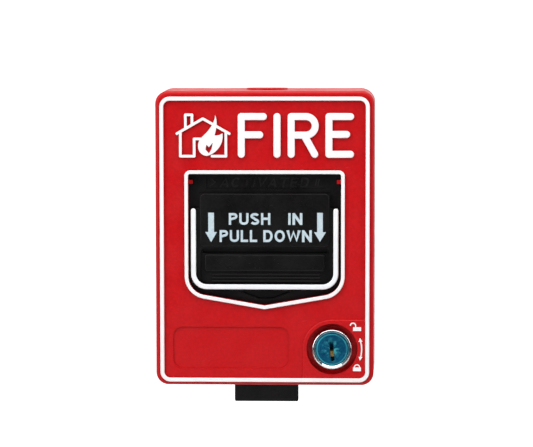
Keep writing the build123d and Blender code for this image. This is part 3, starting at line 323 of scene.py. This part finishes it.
# ---------------------------------------------------------------- metals
def steel(name, light, dark, stretch, matt, stain=None):
    """Plated or bare metal: drawn lines, cloudy plating and finger marks. Its shades are given as a
    screen shows them."""
    material, n, shader, place = new_material(name)
    lines = use(n, BRUSHED, Position=place, Stretch=stretch, Depth=0.000004)
    marks = use(n, MARKS, Position=place, Amount=0.7)
    cloud = n.ramp(n.noise(place, 220.0, 3.0, 0.6), 0.3, 0.7)
    base = n.mix(n.math("MULTIPLY", lines["Streak"], 0.5), colour(*light), colour(*dark))
    base = n.mix(n.math("MULTIPLY", cloud, 0.35), base, colour(*(stain or dark)))
    n.fill(shader.inputs["Base Color"], n.mix(marks["Scuff"], base, colour(235, 235, 235)))
    rough = n.math("ADD", n.math("MULTIPLY", lines["Streak"], 0.10), matt)
    n.fill(shader.inputs["Roughness"], n.math("ADD", rough, n.math("MULTIPLY", marks["Smudge"], 0.15)))
    n.fill(shader.inputs["Normal"], lines["Normal"])
    shader.inputs["Metallic"].default_value = 1.0
    return material


def spangle():
    """Zinc plating with a soft yellow-blue cloud and small crystal patches."""
    material, n, shader, place = new_material("zinc_steel")
    flakes = n.put("ShaderNodeTexVoronoi", {"feature": "F1"}, Vector=place, Scale=420.0)
    shade = n.put("ShaderNodeSeparateColor", None, Color=flakes.outputs["Color"]).outputs[0]
    cloud = n.ramp(n.noise(place, 60.0, 2.0), 0.35, 0.65)
    base = n.mix(shade, colour(186, 189, 193), colour(208, 210, 212))
    base = n.mix(n.math("MULTIPLY", cloud, 0.4), base, colour(214, 206, 184))
    marks = use(n, MARKS, Position=place, Amount=0.6)
    n.fill(shader.inputs["Base Color"], n.mix(marks["Scuff"], base, colour(236, 236, 236)))
    rough = n.math("ADD", n.math("MULTIPLY", shade, 0.12), 0.28)
    n.fill(shader.inputs["Roughness"], n.math("ADD", rough, n.math("MULTIPLY", marks["Smudge"], 0.2)))
    bump = n.put("ShaderNodeBump", None, Strength=0.4, Distance=0.000008, Height=shade)
    n.fill(shader.inputs["Normal"], bump.outputs["Normal"])
    shader.inputs["Metallic"].default_value = 1.0
    return material


def lock_position(n, place):
    """Distance from the lock's axis, the angle round it, and the place along it."""
    low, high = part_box("lock_plug")
    lock_x = (low.x + high.x) / 2
    lock_z = (low.z + high.z) / 2
    split = n.put("ShaderNodeSeparateXYZ", None, Vector=place)
    across = n.math("SUBTRACT", split.outputs["X"], lock_x)
    up = n.math("SUBTRACT", split.outputs["Z"], lock_z)
    squares = n.math("ADD", n.math("MULTIPLY", across, across), n.math("MULTIPLY", up, up))
    reach = n.math("SQRT", squares)
    return reach, n.math("ARCTAN2", up, across), split.outputs["Y"]


def turned_metal(name, light, dark, matt, dirt, depth, glints=None):
    """Metal turned on a lathe round the lock's axis: fine rings, brushed arcs, dirt in patches, and
    where glints is a colour, painted glints: bright fans that run out from the middle, and a painted
    highlight ring near the edge."""
    material, n, shader, place = new_material(name)
    reach, angle, out = lock_position(n, place)
    at = n.put("ShaderNodeCombineXYZ", None, X=n.math("MULTIPLY", reach, 9000.0),
               Y=n.math("MULTIPLY", angle, 1.6), Z=n.math("MULTIPLY", out, 900.0))
    rings = n.noise(at.outputs["Vector"], 1.0, 2.0)
    marks = use(n, MARKS, Position=place, Amount=0.6)
    base = n.mix(n.ramp(rings, 0.3, 0.7), light, dark)
    soil = n.math("MULTIPLY", n.ramp(n.noise(place, 900.0, 3.0), 0.45, 0.7), 0.35)
    base = n.mix(soil, base, dirt)
    if glints:
        round_turn = n.put("ShaderNodeCombineXYZ", None, X=n.math("COSINE", angle),
                           Y=n.math("SINE", angle), Z=n.math("MULTIPLY", reach, 160.0))
        # painted glints: bright fans of the glint colour that run out from the middle
        painted_glint_fans = n.ramp(n.noise(round_turn.outputs["Vector"], 1.7, 2.0, 0.6), 0.50, 0.68)
        close = n.ramp(reach, 0.0012, 0.0062, 0.95, 0.15)
        base = n.mix(n.math("MULTIPLY", painted_glint_fans, close), base, glints)
        # painted highlight: a bright ring of the glint colour 6.6 to 7.5 mm from the axis
        painted_rim_highlight = n.math("MULTIPLY", n.ramp(reach, 0.0066, 0.0070), n.ramp(reach, 0.0072, 0.0075, 1.0, 0.0))
        base = n.mix(n.math("MULTIPLY", painted_rim_highlight, 0.55), base, glints)
    n.fill(shader.inputs["Base Color"], base)
    rough = n.math("ADD", n.math("MULTIPLY", rings, 0.12), matt)
    n.fill(shader.inputs["Roughness"], n.math("ADD", rough, n.math("MULTIPLY", marks["Smudge"], 0.15)))
    bump = n.put("ShaderNodeBump", None, Strength=1.0, Distance=depth, Height=rings)
    n.fill(shader.inputs["Normal"], bump.outputs["Normal"])
    shader.inputs["Metallic"].default_value = 1.0
    return material


def resistor_coat():
    """Lacquered beige body with colour bands round it, and tinned leads."""
    material, n, shader, place = new_material("resistor_body")
    low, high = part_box("end_of_line_resistor")
    split = n.put("ShaderNodeSeparateXYZ", None, Vector=place)
    across = split.outputs["X"]
    middle = (low.x + high.x) / 2
    mottle = n.ramp(n.noise(place, 900.0, 2.0), 0.3, 0.7)
    base = n.mix(mottle, colour(206, 176, 128), colour(218, 192, 148))
    for offset, band in ((-0.0020, colour(120, 66, 34)), (-0.0010, colour(28, 26, 26)),
                         (0.0, colour(214, 92, 34)), (0.0018, colour(188, 150, 62))):
        from_band = n.math("ABSOLUTE", n.math("SUBTRACT", across, middle + offset))
        base = n.mix(n.math("LESS_THAN", from_band, 0.00028), base, band)
    reach = n.math("ABSOLUTE", n.math("SUBTRACT", across, middle))
    tinned = n.math("GREATER_THAN", reach, 0.0034)
    n.fill(shader.inputs["Base Color"], n.mix(tinned, base, colour(196, 198, 200)))
    n.fill(shader.inputs["Metallic"], tinned)
    n.fill(shader.inputs["Roughness"], n.ramp(n.noise(place, 600.0, 2.0), 0.3, 0.7, 0.22, 0.4))
    ripple = n.noise(place, 1500.0, 2.0)
    bump = n.put("ShaderNodeBump", None, Strength=0.5, Distance=0.00001, Height=ripple)
    n.fill(shader.inputs["Normal"], bump.outputs["Normal"])
    return material


# name: deeper and brighter shade, pits per metre, depth of the pits, least roughness, shade of scuffs
PLASTICS = {
    "dark_plastic": ((24, 24, 25), (36, 36, 38), 2200.0, 0.00002, 0.42, (84, 84, 86)),
    "switch_case": ((22, 21, 22), (33, 32, 34), 3800.0, 0.000012, 0.30, (80, 80, 84)),
    "terminal_plastic": ((28, 29, 30), (40, 41, 43), 3000.0, 0.00002, 0.46, (90, 90, 92)),
    "plunger_white": ((228, 224, 212), (240, 238, 228), 4200.0, 0.000006, 0.30, (200, 196, 186)),
    "lead_red": ((178, 26, 26), (196, 34, 32), 1500.0, 0.00001, 0.34, (220, 110, 100)),
}

# name: lighter and darker shade, density of the drawn lines along x, y and z, least roughness, stain
STEELS = {
    "bright_steel": ((212, 212, 210), (170, 170, 170), (900.0, 900.0, 5200.0), 0.20),
    "spring_steel": ((176, 176, 176), (132, 132, 134), (1800.0, 1800.0, 1800.0), 0.28, (120, 112, 100)),
    "green_screw": ((46, 150, 82), (26, 110, 56), (1200.0, 1200.0, 4200.0), 0.30, (150, 156, 120)),
    "brass_parts": ((222, 186, 108), (186, 146, 74), (1400.0, 900.0, 3800.0), 0.24, (138, 100, 52)),
}

MATERIALS = {
    "red_shell": red_shell(),
    "black_handle": black_handle(),
    **{name: plain_plastic(name, *row) for name, row in PLASTICS.items()},
    **{name: steel(name, *row) for name, row in STEELS.items()},
    "zinc_steel": spangle(),
    "resistor_body": resistor_coat(),
    "chrome_ring": turned_metal("chrome_ring", colour(226, 229, 230), colour(208, 212, 214), 0.05,
                                colour(150, 150, 150), depth=0.0000004),
    "blue_plug": turned_metal("blue_plug", colour(34, 128, 168), colour(20, 88, 128), 0.30,
                              colour(24, 44, 92), depth=0.000005, glints=colour(90, 226, 240)),
}
INK = white_print()
BAND_SHEEN_PLASTIC = band_sheen_plastic()

record = frame["record"]
slot_of = {row["node"]: row["material_slot"] for row in record["subparts"]}
for name, node in nodes.items():
    node.data.materials.clear()
    node.data.materials.append(MATERIALS[slot_of[name]])


# ---------------------------------------------------------------- meshes
def mesh_piece(name, points, faces, material, smooth=True):
    """An object at the origin from an array of points in metres and lists of corner numbers."""
    mesh = bpy.data.meshes.new(name)
    mesh.from_pydata(points.tolist(), [], [list(map(int, f)) for f in faces])
    mesh.validate()
    mesh.polygons.foreach_set("use_smooth", np.full(len(mesh.polygons), smooth))
    mesh.materials.append(material)
    mesh.update()
    made = bpy.data.objects.new(name, mesh)
    bpy.context.scene.collection.objects.link(made)
    return made


def tube_grid(centres, radius, around):
    """A round tube along a line: each ring is the line's point plus radius times the cosine and sine
    of an even turn, along the normal and binormal of the line; flat discs close both ends."""
    ahead = np.gradient(centres, axis=0)
    ahead /= np.linalg.norm(ahead, axis=1)[:, None]
    guide = np.cross(ahead, np.gradient(ahead, axis=0))
    guide[np.linalg.norm(guide, axis=1) < 1e-9] = (0.3, 0.5, 0.8)
    side = np.cross(guide, ahead)
    side /= np.linalg.norm(side, axis=1)[:, None]
    up = np.cross(ahead, side)
    turn = np.linspace(0, 2 * np.pi, around, endpoint=False)
    ring = np.cos(turn)[None, :, None] * side[:, None] + np.sin(turn)[None, :, None] * up[:, None]
    points = (centres[:, None] + radius * ring).reshape(-1, 3)
    rows, cols = np.meshgrid(np.arange(len(centres) - 1), np.arange(around), indexing="ij")
    here, beside = rows * around + cols, rows * around + (cols + 1) % around
    quads = np.stack([here, beside, beside + around, here + around], -1).reshape(-1, 4)
    last = (len(centres) - 1) * around
    caps = [list(range(around))[::-1], list(range(last, last + around))]
    return points, quads.tolist() + caps


def coil(start, along, across, length, radius, wire, turns):
    """Centre line of a wire coil with closed ends: the angle grows evenly, and the height along the
    axis grows slowly in the first and last turn and evenly between them, so that both ends lie flat."""
    along, across = np.array(along, float), np.array(across, float)
    third = np.cross(along, across)
    share = np.linspace(0, 1, int(turns * 22) + 1)
    turned = share * turns
    pitch_share = np.clip(np.minimum(turned, turns - turned) / 0.9, 0, 1)
    pitch_share = pitch_share * pitch_share * (3 - 2 * pitch_share) + 0.22
    rise = np.concatenate([[0], np.cumsum((pitch_share[1:] + pitch_share[:-1]) / 2)])
    height = wire / 2 + rise / rise[-1] * (length - wire)
    angle = turned * 2 * np.pi
    reach = radius - wire / 2
    return (np.array(start) + height[:, None] * along
            + reach * np.cos(angle)[:, None] * across + reach * np.sin(angle)[:, None] * third)


def spring_piece(name, coils, wire, around=10):
    """One object that holds the wires of several coils."""
    points, faces, count = [], [], 0
    for centres in coils:
        part_points, part_faces = tube_grid(centres, wire / 2, around)
        points.append(part_points)
        faces.extend([[c + count for c in f] for f in part_faces])
        count += len(part_points)
    return mesh_piece(name, np.concatenate(points), faces, MATERIALS["spring_steel"])


# ---------------------------------------------------------------- printed words
def stroke_outline(line, width):
    """Both edges of a flat strip along a line of points: each point is moved half a width to both
    sides, mitred at bends."""
    line = np.array(line, float)
    line = line[np.append(True, np.linalg.norm(np.diff(line, axis=0), axis=1) > 1e-4)]
    ahead = np.diff(line, axis=0)
    ahead /= np.linalg.norm(ahead, axis=1)[:, None]
    before = np.vstack([ahead[:1], ahead])
    after = np.vstack([ahead, ahead[-1:]])
    middle = before + after
    middle /= np.linalg.norm(middle, axis=1)[:, None]
    side = np.stack([-middle[:, 1], middle[:, 0]], 1)
    reach = width / 2 / np.clip((middle * after).sum(1), 0.5, 1)
    return line + side * reach[:, None], line - side * reach[:, None]


def arc(cx, cy, rx, ry, start, end, count=14):
    """Points along part of an ellipse, angles in degrees."""
    turn = np.radians(np.linspace(start, end, count))
    return [(cx + rx * c, cy + ry * s) for c, s in zip(np.cos(turn), np.sin(turn))]


def glyphs(w, k):
    """Plain block capitals in a box one high and w wide, drawn as centre lines for a stroke k wide."""
    h = k / 2
    t = 1 - h
    r = w - h
    return {
        "P": [[(h, 0), (h, 1)],
              [(h, t)] + arc(r - 0.22, 0.725, 0.22, t - 0.725, 90, -90) + [(h, 0.45)]],
        "U": [[(h, 1), (h, 0.32)] + arc((h + r) / 2, 0.32, (r - h) / 2, 0.32 - h, 180, 360) + [(r, 1)]],
        "S": [arc((h + r) / 2, 0.735, (r - h) / 2, t - 0.735, 20, 250, 16)
              + arc((h + r) / 2, 0.275, (r - h) / 2, 0.275 - h, 80, -160, 18)],
        "H": [[(h, 0), (h, 1)], [(r, 0), (r, 1)], [(h, 0.52), (r, 0.52)]],
        "I": [[(h, 0), (h, 1)]],
        "N": [[(h, 0), (h, 1)], [(h, 0.93), (r, 0.07)], [(r, 0), (r, 1)]],
        "L": [[(h, 1), (h, 0)], [(0, h), (w, h)]],
        "D": [[(h, 0), (h, 1)],
              [(h, t)] + arc(r - 0.3, 0.5, 0.3, t - 0.5, 90, -90) + [(h, h)]],
        "O": [arc(w / 2, 0.5, w / 2 - h, 0.5 - h, 0, 360, 30)],
        "W": [[(h * 0.8, 1), (w * 0.27, 0.06), (w * 0.5, 0.94), (w * 0.73, 0.06), (w - h * 0.8, 1)]],
        "A": [[(h * 0.7, 0), (w / 2, 0.95), (w - h * 0.7, 0)], [(w * 0.2, 0.3), (w * 0.8, 0.3)]],
        "C": [arc(w / 2, 0.5, w / 2 - h, 0.5 - h, 42, 318, 24)],
        "T": [[(w / 2, 0), (w / 2, 1)], [(0, t), (w, t)]],
        ">": [[(h * 0.6, 1), (w * 0.8, 0.5), (h * 0.6, 0)]],
        "V": [[(h * 0.7, 1), (w / 2, 0.05), (w - h * 0.7, 1)]],
        "E": [[(h, 0), (h, 1)], [(h, t), (w, t)], [(h, 0.51), (w * 0.92, 0.51)], [(h, h), (w, h)]],
    }


# letters with slanted strokes are drawn a little heavier; widths are shares of the letters' height
HEAVIER = {"W": 1.25, "N": 1.08, "A": 1.1, "V": 1.1}
WIDTHS = {"W": 1.14, "O": 0.88, "D": 0.80, "L": 0.66, "P": 0.76, "S": 0.78, "E": 0.72}


def word_strips(word, box, stroke, slant=0.0, gap=0.16):
    """Strips of a word fitted to a box of x and z in millimetres: each letter's centre lines are
    scaled to the box's height and width, then leaned by the slant."""
    left, bottom, right, top = box
    high = top - bottom
    widths = [stroke / high if c == "I" else WIDTHS.get(c, 0.82) for c in word]
    total = sum(widths) + gap * (len(word) - 1)
    squeeze = (right - left - slant * high) / (total * high)
    strips = []
    x = 0.0
    for letter, width in zip(word, widths):
        lines = glyphs(width, stroke / high)[letter]
        for line in lines:
            a, b = stroke_outline(line, stroke / high * HEAVIER.get(letter, 1.0))
            for edge in (a, b):
                px = left + (x + edge[:, 0]) * high * squeeze + slant * edge[:, 1] * high
                edge[:] = np.stack([px, bottom + np.clip(edge[:, 1], 0, 1) * high], 1)
            strips.append((a, b))
        x += width + gap
    return strips


def raised_strips(name, strips, depth, thickness, material, step=0.0015):
    """Joins strips into thin closed pieces on the front at a depth from the wall: four corner lines
    run along each strip, two at the back and two at the front, and quads close all six sides. Each
    next strip stands a hair prouder, so that crossings never share a plane."""
    points, faces, count = [], [], 0
    for number, (a, b) in enumerate(strips):
        size = len(a)
        front = depth + thickness + step * (number % 5)
        rows = [np.stack([p[:, 0], np.full(size, -d), p[:, 1]], 1)
                for p, d in ((a, depth), (b, depth), (b, front), (a, front))]
        grid = np.stack(rows, 1)
        points.append(grid.reshape(-1, 3) * MM)
        first = np.arange(size - 1)[:, None] * 4 + np.arange(4)[None, :]
        beside = np.arange(size - 1)[:, None] * 4 + (np.arange(4)[None, :] + 1) % 4
        quads = np.stack([first, beside, beside + 4, first + 4], -1).reshape(-1, 4) + count
        faces.extend(quads.tolist())
        faces.append([count + 3, count + 2, count + 1, count])
        last = count + (size - 1) * 4
        faces.append([last, last + 1, last + 2, last + 3])
        count += size * 4
    made = mesh_piece(name, np.concatenate(points), faces, material, smooth=False)
    outward(made)
    return made


def outward(made):
    """Turns every closed shell's faces outwards."""
    shape = bmesh.new()
    shape.from_mesh(made.data)
    bmesh.ops.recalc_face_normals(shape, faces=shape.faces)
    shape.to_mesh(made.data)
    shape.free()


def arrow_strips(x, top, tip, shaft, head, head_z):
    """A straight shaft and a pointed head, as two strips that run down; the head's width shrinks to
    a point."""
    shaft_strip = (np.array([(x - shaft / 2, top), (x - shaft / 2, head_z)]),
                   np.array([(x + shaft / 2, top), (x + shaft / 2, head_z)]))
    head_strip = (np.array([(x - head / 2, head_z), (x - 0.02, tip)]),
                  np.array([(x + head / 2, head_z), (x + 0.02, tip)]))
    return [shaft_strip, head_strip]


def printed_words():
    """The operating words and two arrows on the handle's label panel."""
    strips = []
    for word, box in (("PUSH", (-16.86, 6.59, 2.71, 12.17)), ("IN", (11.13, 6.59, 17.76, 12.17)),
                      ("PULL", (-21.23, -1.53, -3.49, 4.11)), ("DOWN", (-0.62, -1.53, 22.20, 4.11))):
        strips += word_strips(word, box, LABEL_STROKE)
    words = raised_strips("printed_words", strips, LABEL_DEPTH - INK_SINK, INK_HEIGHT, INK)
    pointers = (arrow_strips(-25.22, 12.31, -1.60, 2.71, 5.48, 3.17)
                + arrow_strips(26.08, 12.31, -1.34, 2.65, 5.61, 3.17))
    arrows = raised_strips("printed_arrows", pointers, LABEL_DEPTH - INK_SINK, INK_HEIGHT, INK)
    for piece in (words, arrows):
        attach(piece, "handle")


def band_letters():
    """A faint raised word on the strip above the label, in the handle's own plastic."""
    strips = word_strips("ACTIVATED", (-21.4, 24.1, 21.4, 28.8), 0.85, slant=LETTER_LEAN, gap=0.2)
    strips += word_strips(">", (-26.0, 24.6, -22.4, 28.2), 0.6, slant=LETTER_LEAN)
    strips += word_strips("II", (23.6, 25.0, 26.0, 28.2), 0.5, slant=LETTER_LEAN)
    # the letters' plastic is the handle's black painted a shade lighter, as a sheen
    piece = raised_strips("band_letters", strips, BAND_DEPTH - BAND_SINK, BAND_HEIGHT, BAND_SHEEN_PLASTIC)
    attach(piece, "handle")


# ---------------------------------------------------------------- springs
def in_metres(spring):
    """A spring's sizes in metres; its number of turns stays as it is."""
    return {key: value if key == "turns" else value * MM for key, value in spring.items()}


def push_springs():
    """Four short coils that push the carriage back towards the front."""
    coils = [coil((x * MM, -22.5 * MM, z * MM), (0, -1, 0), (1, 0, 0), **in_metres(PUSH_SPRING))
             for z in (-27.0, 40.0) for x in (-41.7, 41.7)]
    piece = spring_piece("push_coils", coils, PUSH_SPRING["wire"] * MM)
    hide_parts("push_springs")
    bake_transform(piece)


def return_springs():
    """Two long coils that lift the handle in the carriage."""
    coils = [coil((x * MM, -29.4 * MM, -26.0 * MM), (0, 0, 1), (1, 0, 0), **in_metres(RETURN_SPRING))
             for x in (-30.0, 30.0)]
    piece = spring_piece("return_coils", coils, RETURN_SPRING["wire"] * MM)
    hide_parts("return_springs")
    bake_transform(piece)


def latch_spring():
    """One small coil that swings the latch arm."""
    low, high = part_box("latch_spring")
    middle = ((low.y + high.y) / 2, (low.z + high.z) / 2)
    radius = (high.z - low.z) / 2
    centres = coil((low.x, middle[0], middle[1]), (1, 0, 0), (0, 0, 1),
                   high.x - low.x, radius, LATCH_WIRE * MM, LATCH_TURNS)
    piece = spring_piece("latch_coil", [centres], LATCH_WIRE * MM, 8)
    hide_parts("latch_spring")
    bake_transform(piece)


printed_words()
band_letters()
push_springs()
return_springs()
latch_spring()


# ---------------------------------------------------------------- floor, light and camera
def backdrop():
    """A pale sweep: a flat floor that turns up in a quarter circle into a tall back wall."""
    floor_z, wall_top, front_y, back_y, bend, half = -0.85, 3.6, -3.0, 1.70, 0.25, 3.2
    dim_below, bright_above = -0.70, -0.52
    turn = np.linspace(0, np.pi / 2, 24)
    y = np.concatenate([[front_y], back_y - bend + bend * np.sin(turn), [back_y]])
    z = np.concatenate([[floor_z], floor_z + bend - bend * np.cos(turn), [wall_top]])
    x = np.array([-half, half])
    grid = np.stack([np.tile(x, (len(y), 1)), np.tile(y[:, None], (1, 2)),
                     np.tile(z[:, None], (1, 2))], -1)
    first = np.arange(len(y) - 1) * 2
    faces = np.stack([first, first + 1, first + 3, first + 2], -1)
    material, n, shader, place = new_material("paper_sweep")
    tone = n.ramp(n.noise(place, 30.0, 2.0), 0.3, 0.7)
    n.fill(shader.inputs["Base Color"], n.mix(tone, (0.86, 0.86, 0.86, 1), (0.90, 0.90, 0.90, 1)))
    shader.inputs["Roughness"].default_value = 0.9
    height = n.put("ShaderNodeSeparateXYZ", None, Vector=place).outputs["Z"]
    glow = n.mix(n.ramp(height, dim_below, bright_above), (0.12, 0.12, 0.12, 1), (1, 1, 1, 1))
    n.fill(shader.inputs["Emission Color"], glow)
    shader.inputs["Emission Strength"].default_value = BACKDROP_GLOW
    sweep = mesh_piece("paper_sweep", grid.reshape(-1, 3), faces, material)


def soft_light(name, place, size, power):
    """A rectangular soft light that looks at the front of the object."""
    data = bpy.data.lights.new(name, "AREA")
    data.shape = "RECTANGLE"
    data.size, data.size_y = size
    data.energy = power
    lamp = bpy.data.objects.new(name, data)
    bpy.context.scene.collection.objects.link(lamp)
    place, target = Vector(place), Vector(LIGHT_TARGET)
    lamp.rotation_euler = (target - place).to_track_quat("-Z", "Y").to_euler()
    lamp.location = place


backdrop()
soft_light("top_light", (0.02, -0.35, 0.78), (1.4, 0.8), 10.4)
soft_light("right_light", (0.85, -0.45, 0.30), (0.5, 0.8), 3.0)
soft_light("left_light", (-0.80, -0.65, 0.30), (0.5, 0.8), 5.8)
soft_light("table_light", (0.0, -0.80, -0.42), (0.9, 0.25), 1.1)

world = bpy.data.worlds.new("studio")
world.use_nodes = True
world.node_tree.nodes["Background"].inputs["Color"].default_value = (0.9, 0.93, 1.0, 1)
world.node_tree.nodes["Background"].inputs["Strength"].default_value = 0.07
bpy.context.scene.world = world

camera_data = bpy.data.cameras.new("camera")
camera_data.lens = 144.24
camera_data.sensor_width = 36.0
camera_data.sensor_fit = "HORIZONTAL"
camera_data.clip_start = 0.01
camera = bpy.data.objects.new("camera", camera_data)
bpy.context.scene.collection.objects.link(camera)
turn = (Matrix.Rotation(math.radians(2.137), 4, "Z") @ Matrix.Rotation(math.radians(-4.486), 4, "X")
        @ Matrix.Rotation(math.radians(0.059), 4, "Y") @ Matrix.Rotation(math.radians(90), 4, "X"))
camera.matrix_world = Matrix.Translation((0.03828, -1.038, 0.08588)) @ turn
bpy.context.scene.camera = camera
bpy.context.scene.view_settings.view_transform = "Standard"
